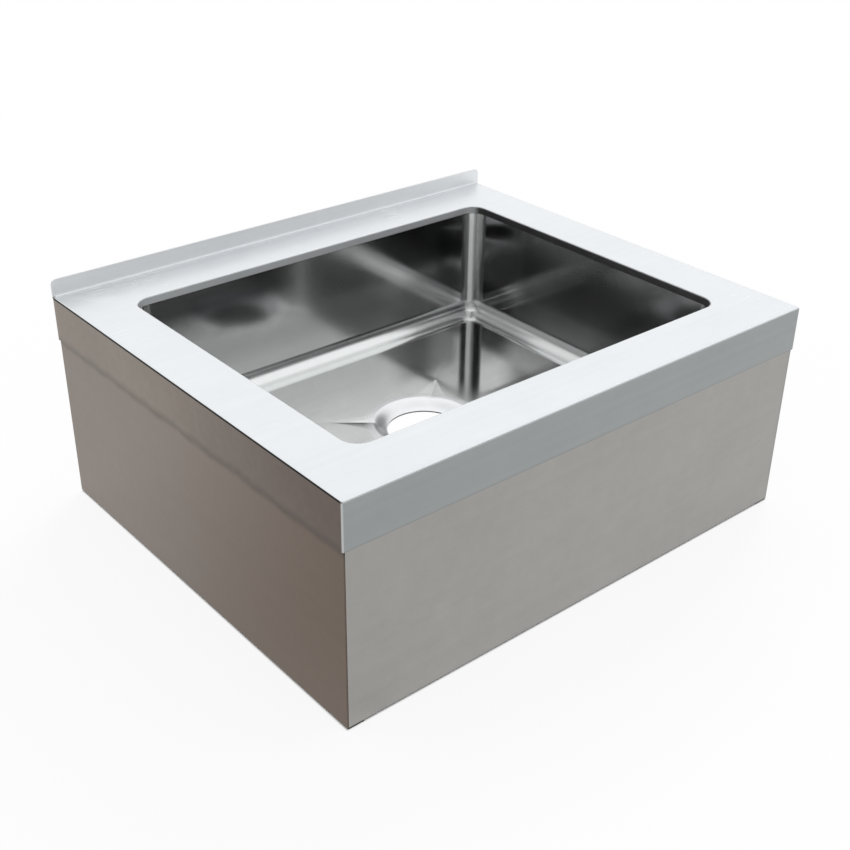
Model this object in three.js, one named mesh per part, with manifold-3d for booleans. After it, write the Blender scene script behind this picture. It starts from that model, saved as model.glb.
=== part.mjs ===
// A floor-standing mop service sink, folded and welded from stainless sheet.
// Millimetres, +Z up. The origin is on the floor, at the middle of the sink:
// +X runs along the front to the right, and +Y runs back to the wall.

import * as THREE from 'three';
import { mergeVertices } from 'three/addons/utils/BufferGeometryUtils.js';
import Module from 'manifold-3d';

const wasm = await Module();
wasm.setup();

// ---- Driving dimensions ----------------------------------------------------

// The whole sink
const WIDTH = 635;
const DEPTH = 538;
const DECK_HEIGHT = 254;
const SHEET = 1.5;
const JOINT_GAP = 0.3;

// The deck and its folds
const APRON_DROP = 52;
const EDGE_BEND_R = 2.5;
const APRON_CORNER_R = 2.5;
const APRON_INSIDE_R = 0.5;
const UPSTAND_RISE = 20;
const UPSTAND_CORNER_R = 7;
const UPSTAND_FOLD_R = 3;

// The opening in the deck, and the collar turned down into it
const OPENING_WIDTH = 510;
const OPENING_DEPTH = 407;
const OPENING_CORNER_R = 20;
const OPENING_EDGE_R = 1.8;
const COLLAR_DROP = 9.5;

// The bowl below the collar
const BOWL_DEPTH = 152;
const COVE_R = 19;
const DISH_HALF = 84;
const DISH_FALL = 4;
const RECESS_R = 60;
const RECESS_DEPTH = 6.5;
const SEAT_R = 52;
const DRAIN_HOLE_R = 44;

// The skirt panels
const FLANGE_WIDTH = 20;
const FLANGE_BEND_R = 2.5;

// The upright angles in the corners
const ANGLE_LEG = 25;
const ANGLE_THICKNESS = 2;

// The hat channels below the rim: how far their lips stay from the collar and the
// skirt, and how much of a channel's width each lip takes
const CHANNEL_CLEARANCE = 4.35;
const CHANNEL_LIP_SHARE = 0.2;
const CHANNEL_DEPTH = 18;
const CHANNEL_SHEET = 1.5;
const CHANNEL_APART = 30;

// The sound-deadening pads
const PAD_WIDTH = 120;
const PAD_LENGTH = 130;
const PAD_THICKNESS = 3;
const PAD_CORNER_R = 8;
const PAD_TO_DISH = 12;
const PAD_SPACING = 40;

// The tabs that hold the sink to the floor
const CLIP_LENGTH = 40;
const CLIP_RISE = 25;
const CLIP_REACH = 34;
const CLIP_THICKNESS = 2;
const CLIP_BEND_R = 3;
const CLIP_TO_CORNER = 120;

// How finely the round forms are divided
const CORNER_STEPS = 8;
const COVE_STEPS = 7;
const BEND_STEPS = 3;
const ROUND_STEPS = 56;
const RECESS_STEPS = 4;

// ---- Sizes that follow from them -------------------------------------------

const QUARTER = Math.PI / 2;
// How far a cut runs past the face it opens, and the least radius left on a ring
const OVERCUT = 1;
const LEAST_R = 0.2;

const DECK_UNDERSIDE = DECK_HEIGHT - SHEET;
const COLLAR_BOTTOM = DECK_HEIGHT - COLLAR_DROP;
const BOWL_TOP = COLLAR_BOTTOM - JOINT_GAP;
const BOWL_FLOOR = DECK_HEIGHT - BOWL_DEPTH;
const RECESS_RIM = BOWL_FLOOR - DISH_FALL;
const SEAT_HEIGHT = RECESS_RIM - RECESS_DEPTH;

// Outer faces of the skirt, which stands behind the aprons
const SKIRT_X = WIDTH / 2 - SHEET - JOINT_GAP;
const SKIRT_Y = DEPTH / 2 - SHEET - JOINT_GAP;
const SKIRT_TOP = DECK_HEIGHT - Math.max(SHEET, EDGE_BEND_R) - JOINT_GAP;
const UNDER_DECK = DECK_UNDERSIDE - JOINT_GAP;

// The faces inside the skirt on which angles and clips are welded
const INSIDE_X = SKIRT_X - SHEET - JOINT_GAP;
const INSIDE_Y = SKIRT_Y - SHEET - JOINT_GAP;
const ON_FLANGE = SHEET + JOINT_GAP;
const ABOVE_BEND = Math.max(SHEET, FLANGE_BEND_R) + JOINT_GAP;

// The room below the rim, from the collar to the skirt. All four channels have one
// section, as wide as suits the narrower rim.
const COLLAR_X = OPENING_WIDTH / 2 + SHEET;
const COLLAR_Y = OPENING_DEPTH / 2 + SHEET;
const SIDE_ROOM = SKIRT_X - SHEET - COLLAR_X;
const END_ROOM = SKIRT_Y - SHEET - COLLAR_Y;
const CHANNEL_WIDTH = Math.min(SIDE_ROOM, END_ROOM) - 2 * CHANNEL_CLEARANCE;
const CHANNEL_LIP = CHANNEL_WIDTH * CHANNEL_LIP_SHARE;

// ---- Materials -------------------------------------------------------------

const deckSteel = new THREE.MeshStandardMaterial({ color: 0xe3e6e8, roughness: 0.32, metalness: 1 });
const bowlSteel = new THREE.MeshStandardMaterial({ color: 0x9ba09f, roughness: 0.25, metalness: 1 });
const skirtSteel = new THREE.MeshStandardMaterial({ color: 0x96918b, roughness: 0.38, metalness: 1 });
const bracketSteel = new THREE.MeshStandardMaterial({ color: 0xa8abad, roughness: 0.5, metalness: 1 });
const padRubber = new THREE.MeshStandardMaterial({ color: 0x2b2c2e, roughness: 0.9, metalness: 0 });

// ---- Geometry helpers ------------------------------------------------------

// Points closer than this are one point of a solid
const SAME_POINT = 1e-4;

function toSolid(geometry) {
  const bare = geometry.clone();
  bare.deleteAttribute('normal');
  bare.deleteAttribute('uv');
  const merged = mergeVertices(bare, SAME_POINT);
  return new wasm.Manifold(new wasm.Mesh({
    numProp: 3,
    vertProperties: new Float32Array(merged.attributes.position.array),
    triVerts: new Uint32Array(merged.index.array),
  }));
}

function toGeometry(solid) {
  const mesh = solid.getMesh();
  const geometry = new THREE.BufferGeometry();
  geometry.setAttribute('position', new THREE.BufferAttribute(mesh.vertProperties, mesh.numProp));
  geometry.setIndex(new THREE.BufferAttribute(mesh.triVerts, 1));
  geometry.computeVertexNormals();
  return geometry;
}

function joined(...geometries) {
  return geometries.map(toSolid).reduce((whole, piece) => whole.add(piece));
}

// A box between two corners
function box(x0, x1, y0, y1, z0, z1) {
  const geometry = new THREE.BoxGeometry(x1 - x0, y1 - y0, z1 - z0);
  return geometry.translate((x0 + x1) / 2, (y0 + y1) / 2, (z0 + z1) / 2);
}

// A level ring of points round a rectangle with rounded corners
function roundedRing(halfX, halfY, radius, z) {
  const ring = [];
  for (let corner = 0; corner < 4; corner += 1) {
    const signX = corner === 0 || corner === 3 ? 1 : -1;
    const signY = corner < 2 ? 1 : -1;
    for (let step = 0; step <= CORNER_STEPS; step += 1) {
      const angle = (corner + step / CORNER_STEPS) * QUARTER;
      const x = signX * (halfX - radius) + radius * Math.cos(angle);
      const y = signY * (halfY - radius) + radius * Math.sin(angle);
      ring.push(new THREE.Vector3(x, y, z));
    }
  }
  return ring;
}

// A level ring of points whose distance from the middle is given for each angle
function polarRing(distance, z) {
  const ring = [];
  for (let step = 0; step < ROUND_STEPS; step += 1) {
    const angle = (step / ROUND_STEPS) * 2 * Math.PI;
    const reach = distance(angle);
    ring.push(new THREE.Vector3(reach * Math.cos(angle), reach * Math.sin(angle), z));
  }
  return ring;
}

// The closed solid through a stack of rings, listed from the lowest to the highest
function loft(rings) {
  const size = rings[0].length;
  const points = rings.flat();
  const triangles = [];
  for (let level = 0; level + 1 < rings.length; level += 1) {
    for (let i = 0; i < size; i += 1) {
      const a = level * size + i;
      const b = level * size + ((i + 1) % size);
      triangles.push(a, b, b + size, a, b + size, a + size);
    }
  }
  const lowest = points.length;
  const highest = lowest + 1;
  const top = (rings.length - 1) * size;
  points.push(new THREE.Vector3(0, 0, rings[0][0].z));
  points.push(new THREE.Vector3(0, 0, rings[rings.length - 1][0].z));
  for (let i = 0; i < size; i += 1) {
    const next = (i + 1) % size;
    triangles.push(lowest, next, i, highest, top + i, top + next);
  }
  const geometry = new THREE.BufferGeometry().setFromPoints(points);
  geometry.setIndex(triangles);
  return geometry;
}

// An outline in the XZ plane, drawn out along Y between two places
function alongY(outline, y0, y1) {
  const shape = new THREE.Shape(outline.map(([x, z]) => new THREE.Vector2(x, z)));
  const geometry = new THREE.ExtrudeGeometry(shape, { depth: y1 - y0, bevelEnabled: false });
  return geometry.rotateX(QUARTER).translate(0, y1, 0);
}

// An outline in the XY plane, drawn out along Z between two heights
function alongZ(shape, z0, z1) {
  const geometry = new THREE.ExtrudeGeometry(shape, { depth: z1 - z0, bevelEnabled: false });
  return geometry.translate(0, 0, z0);
}

// Points on an arc, from one angle to another
function arc(centreA, centreB, radius, from, to, steps) {
  const points = [];
  for (let step = 0; step <= steps; step += 1) {
    const angle = from + ((to - from) * step) / steps;
    points.push([centreA + radius * Math.cos(angle), centreB + radius * Math.sin(angle)]);
  }
  return points;
}

// ---- The deck --------------------------------------------------------------

// A tray open below, whose top edge is bent over; inset is 0 outside, SHEET inside.
// Its upright corners are welded: ground round outside, and left tight inside.
function trayForm(inset, corner, bottom) {
  const halfX = WIDTH / 2 - inset;
  const halfY = DEPTH / 2 - inset;
  const bend = EDGE_BEND_R - inset;
  const top = DECK_HEIGHT - inset;
  const rings = [roundedRing(halfX, halfY, corner, bottom)];
  for (let step = 0; step <= BEND_STEPS; step += 1) {
    const angle = (step / BEND_STEPS) * QUARTER;
    const pull = bend * (1 - Math.cos(angle));
    const z = top - bend + bend * Math.sin(angle);
    const radius = Math.max(corner - pull, LEAST_R);
    rings.push(roundedRing(halfX - pull, halfY - pull, radius, z));
  }
  return loft(rings);
}

// The space inside the collar, widening at the top where the deck bends into it
function openingForm() {
  const halfX = OPENING_WIDTH / 2;
  const halfY = OPENING_DEPTH / 2;
  const rings = [roundedRing(halfX, halfY, OPENING_CORNER_R, COLLAR_BOTTOM - OVERCUT)];
  for (let step = 0; step <= BEND_STEPS; step += 1) {
    const angle = (step / BEND_STEPS) * QUARTER;
    const spread = OPENING_EDGE_R * (1 - Math.cos(angle));
    const z = DECK_HEIGHT - OPENING_EDGE_R * (1 - Math.sin(angle));
    rings.push(roundedRing(halfX + spread, halfY + spread, OPENING_CORNER_R + spread, z));
  }
  const widest = OPENING_EDGE_R;
  const above = DECK_HEIGHT + OVERCUT;
  rings.push(roundedRing(halfX + widest, halfY + widest, OPENING_CORNER_R + widest, above));
  return loft(rings);
}

function collarForm() {
  const radius = OPENING_CORNER_R + SHEET;
  return loft([
    roundedRing(COLLAR_X, COLLAR_Y, radius, COLLAR_BOTTOM),
    roundedRing(COLLAR_X, COLLAR_Y, radius, DECK_HEIGHT - SHEET / 2),
  ]);
}

// The upstand along the back, a flat strip with rounded upper corners
function upstandForm() {
  const half = WIDTH / 2;
  const top = DECK_HEIGHT + UPSTAND_RISE;
  const radius = UPSTAND_CORNER_R;
  const outline = [
    [-half, DECK_UNDERSIDE],
    [half, DECK_UNDERSIDE],
    ...arc(half - radius, top - radius, radius, 0, QUARTER, CORNER_STEPS),
    ...arc(radius - half, top - radius, radius, QUARTER, 2 * QUARTER, CORNER_STEPS),
  ];
  return alongY(outline, DEPTH / 2 - SHEET, DEPTH / 2);
}

// The hollow fold between the deck and the upstand
function foldForm() {
  const face = DEPTH / 2 - SHEET;
  const radius = UPSTAND_FOLD_R;
  const root = DECK_HEIGHT - SHEET / 2;
  const hollow = arc(face - radius, DECK_HEIGHT + radius, radius, -QUARTER, 0, CORNER_STEPS);
  const behind = face + SHEET / 2;
  const outline = [[face - radius, root], ...hollow, [behind, DECK_HEIGHT + radius], [behind, root]];
  const half = WIDTH / 2 - EDGE_BEND_R;
  const shape = new THREE.Shape(outline.map(([y, z]) => new THREE.Vector2(y, z)));
  const geometry = new THREE.ExtrudeGeometry(shape, { depth: 2 * half, bevelEnabled: false });
  return geometry.rotateX(QUARTER).rotateZ(QUARTER).translate(-half, 0, 0);
}

function deckGeometry() {
  const apronBottom = DECK_HEIGHT - APRON_DROP;
  const tray = toSolid(trayForm(0, APRON_CORNER_R, apronBottom));
  const hollow = toSolid(trayForm(SHEET, APRON_INSIDE_R, apronBottom - OVERCUT));
  const insideX = WIDTH / 2 - SHEET;
  const insideY = DEPTH / 2 - SHEET;
  const openBack = toSolid(box(
    -insideX, insideX,
    insideY - OVERCUT, DEPTH / 2 + OVERCUT,
    apronBottom - OVERCUT, DECK_UNDERSIDE,
  ));
  const folds = joined(upstandForm(), foldForm(), collarForm());
  return toGeometry(tray.subtract(hollow).subtract(openBack).add(folds).subtract(toSolid(openingForm())));
}

// ---- The bowl --------------------------------------------------------------

// The bowl's inner or outer form; offset is 0 inside, SHEET outside
function bowlForm(offset, top) {
  const halfX = OPENING_WIDTH / 2 + offset;
  const halfY = OPENING_DEPTH / 2 + offset;
  const corner = OPENING_CORNER_R + offset;
  const cove = COVE_R + offset;
  const floor = BOWL_FLOOR - offset;
  const rings = [];
  for (let step = COVE_STEPS; step >= 0; step -= 1) {
    const angle = (step / COVE_STEPS) * QUARTER;
    const pull = cove * (1 - Math.cos(angle));
    const z = floor + cove * (1 - Math.sin(angle));
    rings.push(roundedRing(halfX - pull, halfY - pull, corner - pull, z));
  }
  rings.push(roundedRing(halfX, halfY, corner, top));
  return loft(rings);
}

// The dish round the drain: square above and round below, so that a crease runs
// from each corner of the square towards the drain
function dishForm(offset, top) {
  const square = (angle) => DISH_HALF / Math.max(Math.abs(Math.cos(angle)), Math.abs(Math.sin(angle)));
  const round = () => RECESS_R + offset;
  return loft([
    polarRing(round, RECESS_RIM - offset),
    polarRing(square, BOWL_FLOOR - offset),
    polarRing(square, top),
  ]);
}

// The recess's wall: two equal arcs that turn from the dish down to the seat
function recessWall(offset) {
  const run = RECESS_R - SEAT_R;
  const turn = 2 * Math.atan2(RECESS_DEPTH, run);
  const radius = run / (2 * Math.sin(turn));
  const upper = [];
  const lower = [];
  for (let step = 0; step <= RECESS_STEPS; step += 1) {
    const angle = (step / RECESS_STEPS) * turn;
    const across = radius * Math.sin(angle);
    const down = radius * (1 - Math.cos(angle));
    upper.unshift(new THREE.Vector2(RECESS_R + offset - across, RECESS_RIM - offset - down));
    if (step < RECESS_STEPS) {
      lower.push(new THREE.Vector2(SEAT_R + offset + across, SEAT_HEIGHT - offset + down));
    }
  }
  return [...lower, ...upper];
}

// The recess as a solid of revolution, closed on its axis
function recessForm(offset, lift) {
  const wall = recessWall(offset);
  const rim = wall[wall.length - 1];
  const profile = [
    new THREE.Vector2(0, SEAT_HEIGHT - offset),
    ...wall,
    new THREE.Vector2(rim.x - lift, rim.y + lift),
    new THREE.Vector2(0, rim.y + lift),
  ];
  return new THREE.LatheGeometry(profile, ROUND_STEPS).rotateX(QUARTER);
}

function drainHoleForm() {
  const height = RECESS_DEPTH + DISH_FALL + 2 * SHEET;
  const geometry = new THREE.CylinderGeometry(DRAIN_HOLE_R, DRAIN_HOLE_R, height, ROUND_STEPS);
  return geometry.rotateX(QUARTER).translate(0, 0, SEAT_HEIGHT - 2 * SHEET + height / 2);
}

function bowlGeometry() {
  const lap = SHEET / 2;
  const shell = joined(
    bowlForm(SHEET, BOWL_TOP),
    dishForm(SHEET, BOWL_FLOOR - lap),
    recessForm(SHEET, lap),
  );
  const inside = joined(
    bowlForm(0, BOWL_TOP + OVERCUT),
    dishForm(0, BOWL_FLOOR + lap),
    recessForm(0, lap / 2),
    drainHoleForm(),
  );
  return toGeometry(shell.subtract(inside));
}

// ---- The skirt panels ------------------------------------------------------

// A panel with its foot flange, standing on the left with its outer face at x = 0
// and running along Y; the wall and the flange have their own half lengths
function panelGeometry(wallHalf, flangeHalf) {
  const outline = [
    ...arc(FLANGE_BEND_R, FLANGE_BEND_R, FLANGE_BEND_R, 2 * QUARTER, 3 * QUARTER, BEND_STEPS),
    [FLANGE_WIDTH, 0],
    [FLANGE_WIDTH, SHEET],
    ...arc(FLANGE_BEND_R, FLANGE_BEND_R, FLANGE_BEND_R - SHEET, 3 * QUARTER, 2 * QUARTER, BEND_STEPS),
    [SHEET, SKIRT_TOP],
    [0, SKIRT_TOP],
  ];
  const panel = toSolid(alongY(outline, -wallHalf, wallHalf));
  const height = FLANGE_BEND_R + SHEET;
  const ends = [-1, 1].map((side) => {
    const y0 = side < 0 ? -wallHalf - OVERCUT : flangeHalf;
    const y1 = side < 0 ? -flangeHalf : wallHalf + OVERCUT;
    return toSolid(box(SHEET, FLANGE_WIDTH + OVERCUT, y0, y1, -OVERCUT, height));
  });
  return toGeometry(panel.subtract(ends[0]).subtract(ends[1]));
}

// ---- The pieces inside -----------------------------------------------------

// An upright angle whose heel is at the origin and whose legs run to +X and +Y
function angleGeometry() {
  const t = ANGLE_THICKNESS;
  const shape = new THREE.Shape([
    new THREE.Vector2(0, 0),
    new THREE.Vector2(ANGLE_LEG, 0),
    new THREE.Vector2(ANGLE_LEG, t),
    new THREE.Vector2(t, t),
    new THREE.Vector2(t, ANGLE_LEG),
    new THREE.Vector2(0, ANGLE_LEG),
  ]);
  return alongZ(shape, ABOVE_BEND, SKIRT_TOP);
}

// A hat channel along Y, its lips at height 0 and its web below
function channelGeometry(length) {
  const lip = CHANNEL_WIDTH / 2;
  const web = lip - CHANNEL_LIP;
  const inner = web - CHANNEL_SHEET;
  const outline = [
    [-lip, 0],
    [-lip, -CHANNEL_SHEET],
    [-web, -CHANNEL_SHEET],
    [-web, -CHANNEL_DEPTH],
    [web, -CHANNEL_DEPTH],
    [web, -CHANNEL_SHEET],
    [lip, -CHANNEL_SHEET],
    [lip, 0],
    [inner, 0],
    [inner, CHANNEL_SHEET - CHANNEL_DEPTH],
    [-inner, CHANNEL_SHEET - CHANNEL_DEPTH],
    [-inner, 0],
  ];
  return alongY(outline, -length / 2, length / 2);
}

// A flat pad with rounded corners, its upper face at height 0
function padGeometry() {
  const ring = roundedRing(PAD_WIDTH / 2, PAD_LENGTH / 2, PAD_CORNER_R, 0);
  const shape = new THREE.Shape(ring.map((point) => new THREE.Vector2(point.x, point.y)));
  return alongZ(shape, -PAD_THICKNESS, 0);
}

// A tab with its back at x = 0 and its sole at height 0, reaching to +X
function clipGeometry() {
  const inner = CLIP_BEND_R - CLIP_THICKNESS;
  const outline = [
    ...arc(CLIP_BEND_R, CLIP_BEND_R, CLIP_BEND_R, 2 * QUARTER, 3 * QUARTER, BEND_STEPS),
    [CLIP_REACH, 0],
    [CLIP_REACH, CLIP_THICKNESS],
    ...arc(CLIP_BEND_R, CLIP_BEND_R, inner, 3 * QUARTER, 2 * QUARTER, BEND_STEPS),
    [CLIP_THICKNESS, CLIP_RISE],
    [0, CLIP_RISE],
  ];
  return alongY(outline, -CLIP_LENGTH / 2, CLIP_LENGTH / 2);
}

// ---- Assembly --------------------------------------------------------------

const sink = new THREE.Group();

function place(name, geometry, material, x = 0, y = 0, z = 0, turn = 0) {
  const mesh = new THREE.Mesh(geometry, material);
  mesh.name = name;
  mesh.position.set(x, y, z);
  mesh.rotation.z = turn * QUARTER;
  sink.add(mesh);
  return mesh;
}

place('deck', deckGeometry(), deckSteel);
place('bowl', bowlGeometry(), bowlSteel);

// The side panels run the whole depth, and the front and back panels fit between them
const sidePanel = panelGeometry(SKIRT_Y, SKIRT_Y - SHEET - JOINT_GAP);
const endPanel = panelGeometry(SKIRT_X - SHEET - JOINT_GAP, SKIRT_X - FLANGE_WIDTH - JOINT_GAP);
place('skirt_left', sidePanel, skirtSteel, -SKIRT_X, 0, 0, 0);
place('skirt_right', sidePanel, skirtSteel, SKIRT_X, 0, 0, 2);
place('skirt_front', endPanel, skirtSteel, 0, -SKIRT_Y, 0, 1);
place('skirt_back', endPanel, skirtSteel, 0, SKIRT_Y, 0, 3);

// One angle in each corner, turned so that its legs lie along the two panels
const angle = angleGeometry();
place('corner_angle_front_left', angle, bracketSteel, -INSIDE_X, -INSIDE_Y, 0, 0);
place('corner_angle_front_right', angle, bracketSteel, INSIDE_X, -INSIDE_Y, 0, 1);
place('corner_angle_back_right', angle, bracketSteel, INSIDE_X, INSIDE_Y, 0, 2);
place('corner_angle_back_left', angle, bracketSteel, -INSIDE_X, INSIDE_Y, 0, 3);

// The channels lie midway between the collar and the skirt. Those at the sides stop
// short of the corner angles, and those at the ends stop short of those at the sides.
const channelX = COLLAR_X + SIDE_ROOM / 2;
const channelY = COLLAR_Y + END_ROOM / 2;
const sideChannel = channelGeometry(2 * (INSIDE_Y - ANGLE_LEG - CHANNEL_APART));
const endChannel = channelGeometry(2 * (channelX - CHANNEL_WIDTH / 2 - CHANNEL_APART));
place('deck_channel_left', sideChannel, bracketSteel, -channelX, 0, UNDER_DECK, 0);
place('deck_channel_right', sideChannel, bracketSteel, channelX, 0, UNDER_DECK, 0);
place('deck_channel_front', endChannel, bracketSteel, 0, -channelY, UNDER_DECK, 1);
place('deck_channel_back', endChannel, bracketSteel, 0, channelY, UNDER_DECK, 1);

// Four pads on the flat of the bowl's underside, two on each side of the dish
const pad = padGeometry();
const padX = DISH_HALF + PAD_TO_DISH + PAD_WIDTH / 2;
const padY = (PAD_SPACING + PAD_LENGTH) / 2;
const padZ = BOWL_FLOOR - SHEET - JOINT_GAP;
[[-1, -1], [1, -1], [1, 1], [-1, 1]].forEach(([sideX, sideY], index) => {
  place(`sound_pad_${index + 1}`, pad, padRubber, sideX * padX, sideY * padY, padZ);
});

// Two tabs at the foot of each side panel, standing on its flange
const clip = clipGeometry();
const clipY = SKIRT_Y - CLIP_TO_CORNER;
for (const [side, name, turn] of [[-1, 'left', 0], [1, 'right', 2]]) {
  place(`floor_clip_${name}_front`, clip, bracketSteel, side * INSIDE_X, -clipY, ON_FLANGE, turn);
  place(`floor_clip_${name}_back`, clip, bracketSteel, side * INSIDE_X, clipY, ON_FLANGE, turn);
}

export default sink;
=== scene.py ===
"""The looks of a floor-standing mop service sink, folded and welded from stainless sheet.

Metres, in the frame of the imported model: the origin is on the floor at the middle of the
sink, +X runs along the front to the right, +Y back to the wall and +Z up.
"""

import math

import bmesh
import bpy
import numpy as np
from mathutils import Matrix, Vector


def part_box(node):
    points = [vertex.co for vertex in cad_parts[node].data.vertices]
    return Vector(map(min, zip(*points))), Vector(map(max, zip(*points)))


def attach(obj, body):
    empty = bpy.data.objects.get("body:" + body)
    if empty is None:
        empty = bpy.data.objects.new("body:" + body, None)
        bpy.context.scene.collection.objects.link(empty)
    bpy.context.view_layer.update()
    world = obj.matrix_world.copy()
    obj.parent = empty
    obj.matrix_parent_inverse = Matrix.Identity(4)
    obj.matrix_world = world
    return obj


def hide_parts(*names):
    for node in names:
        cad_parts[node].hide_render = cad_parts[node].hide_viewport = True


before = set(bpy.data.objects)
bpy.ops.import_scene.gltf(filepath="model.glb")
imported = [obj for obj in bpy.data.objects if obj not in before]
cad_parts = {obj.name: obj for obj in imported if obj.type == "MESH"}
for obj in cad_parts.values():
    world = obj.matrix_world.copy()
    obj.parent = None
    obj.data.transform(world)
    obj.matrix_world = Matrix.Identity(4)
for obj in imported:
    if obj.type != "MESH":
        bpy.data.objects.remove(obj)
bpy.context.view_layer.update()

# ---- Sizes -----------------------------------------------------------------

MM = 0.001
QUARTER = math.pi / 2

SHEET = 1.5 * MM
CUT_EDGE_R = 0.3 * MM  # deburred edges of the sheet

# The deck
UPSTAND_RISE = 20 * MM
UPSTAND_CORNER_R = 7 * MM
UPSTAND_FOLD_R = 3 * MM
EDGE_BEND_R = 2.5 * MM
APRON_CORNER_R = 2.5 * MM
OPENING_CORNER_R = 20 * MM
OPENING_EDGE_R = 1.8 * MM
WELD_GAP = 0.3 * MM
BACK_SLACK = 0.02 * MM  # keeps the cut that opens the back clear of the sheet's own faces

# The bowl and its drain
COVE_R = 19 * MM
CREASE_ANGLES = (43, 143, 223, 323)  # degrees from +X, as hammered in by hand
CREASE_REACH = 114 * MM
CREASE_FALL = 1.2 * MM
DISH_R = 61 * MM
DISH_SPREAD = 8.0  # degrees from a crease in which the dish draws in to DISH_R
RECESS_R = 60 * MM
RECESS_DEPTH = 10.5 * MM
RECESS_ROUNDING = 0.45  # share of the recess wall's fall that is S-shaped; the rest is straight
DRAIN_HOLE_R = 44 * MM
DAB_R = 8.5 * MM  # the ground weld in each lower corner
DAB_INSET = 8 * MM
DAB_RISE = 0.5 * MM

# The skirt and what is inside it
FLANGE_BEND_R = 2.5 * MM
ANGLE_THICKNESS = 2 * MM
ANGLE_ROOT_R = 2 * MM
CHANNEL_BEND_R = 2.5 * MM
CHANNEL_LIP_SHARE = 0.2
CLIP_THICKNESS = 2 * MM
CLIP_BEND_R = 3 * MM
PAD_CORNER_R = 8 * MM
PAD_EDGE_R = 0.8 * MM

# How finely the round forms are divided
SIDE_STEPS = 8
CORNER_STEPS = 16
BEND_STEPS = 8
COVE_STEPS = 18
FACET_STEPS = 6
RECESS_STEPS = 14
ROOT_STEPS = 4
EDGE_STEPS = 2
RING_POINTS = 4 * (2 * SIDE_STEPS + CORNER_STEPS)
CREASE_CROWDING = 1.5  # above 1, the points of a polar ring crowd towards the creases
LEAST_R = 0.2 * MM  # of a rounded ring's corners
SHARP_ANGLE = math.radians(38)

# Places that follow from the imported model
deck_low, deck_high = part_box("deck")
bowl_low, bowl_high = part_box("bowl")
HALF_X = deck_high.x
HALF_Y = deck_high.y
DECK_Z = deck_high.z - UPSTAND_RISE
APRON_BOTTOM = deck_low.z
OPENING_X = bowl_high.x - SHEET
OPENING_Y = bowl_high.y - SHEET
COLLAR_BOTTOM = bowl_high.z + WELD_GAP
BOWL_TOP = bowl_high.z
BOWL_FLOOR = bowl_low.z + SHEET + RECESS_DEPTH
UPSTAND_FACE = HALF_Y - SHEET
DAB_AT = (OPENING_X - DAB_INSET, OPENING_Y - DAB_INSET, BOWL_FLOOR + DAB_INSET)


# ---- Meshes ----------------------------------------------------------------


def arc(centre_a, centre_b, radius, start, end, steps=BEND_STEPS):
    """Points on an arc in a plane, angles in degrees."""
    angles = np.radians(np.linspace(start, end, steps + 1))
    return [(centre_a + radius * math.cos(a), centre_b + radius * math.sin(a)) for a in angles]


def rounded_ring(half_x, half_y, radius, z):
    """A level ring of RING_POINTS points round a rectangle with rounded corners.

    It starts at the middle of the right side and runs anticlockwise.
    """
    radius = max(radius, LEAST_R)
    side = [(half_x, (half_y - radius) * i / SIDE_STEPS) for i in range(SIDE_STEPS)]
    corner = arc(half_x - radius, half_y - radius, radius, 0, 90, CORNER_STEPS)
    top = [((half_x - radius) * (1 - i / SIDE_STEPS), half_y) for i in range(1, SIDE_STEPS + 1)]
    quarter = side + corner + top
    half = quarter[:-1] + [(-x, y) for x, y in reversed(quarter[1:])]
    return [(x, y, z) for x, y in half + [(-x, -y) for x, y in half]]


def polar_ring(radii, heights):
    """A ring of RING_POINTS points with a height for each angle, and one radius or as many."""
    turn = np.radians(RING_ANGLES)
    ring = np.stack([radii * np.cos(turn), radii * np.sin(turn), heights], 1)
    return [tuple(point) for point in ring]


def loft(rings, closed=False):
    """Corner points and faces between rings of equal length; a closed loft ends where it began."""
    size = len(rings[0])
    points = [point for ring in rings for point in ring]
    faces = []
    for level in range(len(rings) if closed else len(rings) - 1):
        below = level * size
        above = (level + 1) % len(rings) * size
        for i in range(size):
            j = (i + 1) % size
            faces.append((below + i, below + j, above + j, above + i))
    if not closed:
        faces.append(tuple(reversed(range(size))))
        faces.append(tuple(range(len(points) - size, len(points))))
    return points, faces


def mesh_object(name, points, faces):
    """A closed mesh with its doubled points merged and its faces pointing out."""
    mesh = bpy.data.meshes.new(name)
    mesh.from_pydata([tuple(p) for p in points], [], faces)
    work = bmesh.new()
    work.from_mesh(mesh)
    bmesh.ops.remove_doubles(work, verts=work.verts, dist=1e-6)
    bmesh.ops.recalc_face_normals(work, faces=work.faces)
    work.to_mesh(mesh)
    work.free()
    piece = bpy.data.objects.new(name, mesh)
    bpy.context.scene.collection.objects.link(piece)
    return piece


def apply_modifiers(piece):
    """Puts the mesh that a piece's modifiers make in place of its own."""
    bpy.context.view_layer.update()
    evaluated = piece.evaluated_get(bpy.context.evaluated_depsgraph_get())
    piece.data = bpy.data.meshes.new_from_object(evaluated)
    piece.modifiers.clear()


def combine(piece, other, operation):
    """Joins other to piece, or cuts it from piece, and removes other."""
    modifier = piece.modifiers.new("combine", "BOOLEAN")
    modifier.object = other
    modifier.operation = operation
    modifier.solver = "EXACT"
    apply_modifiers(piece)
    bpy.data.objects.remove(other)


def round_edges(piece, radius, least_angle=50):
    """Rounds each edge of a piece that turns by more than the least angle, in degrees."""
    modifier = piece.modifiers.new("round", "BEVEL")
    modifier.width = radius
    modifier.segments = EDGE_STEPS
    modifier.limit_method = "ANGLE"
    modifier.angle_limit = math.radians(least_angle)
    apply_modifiers(piece)


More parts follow.
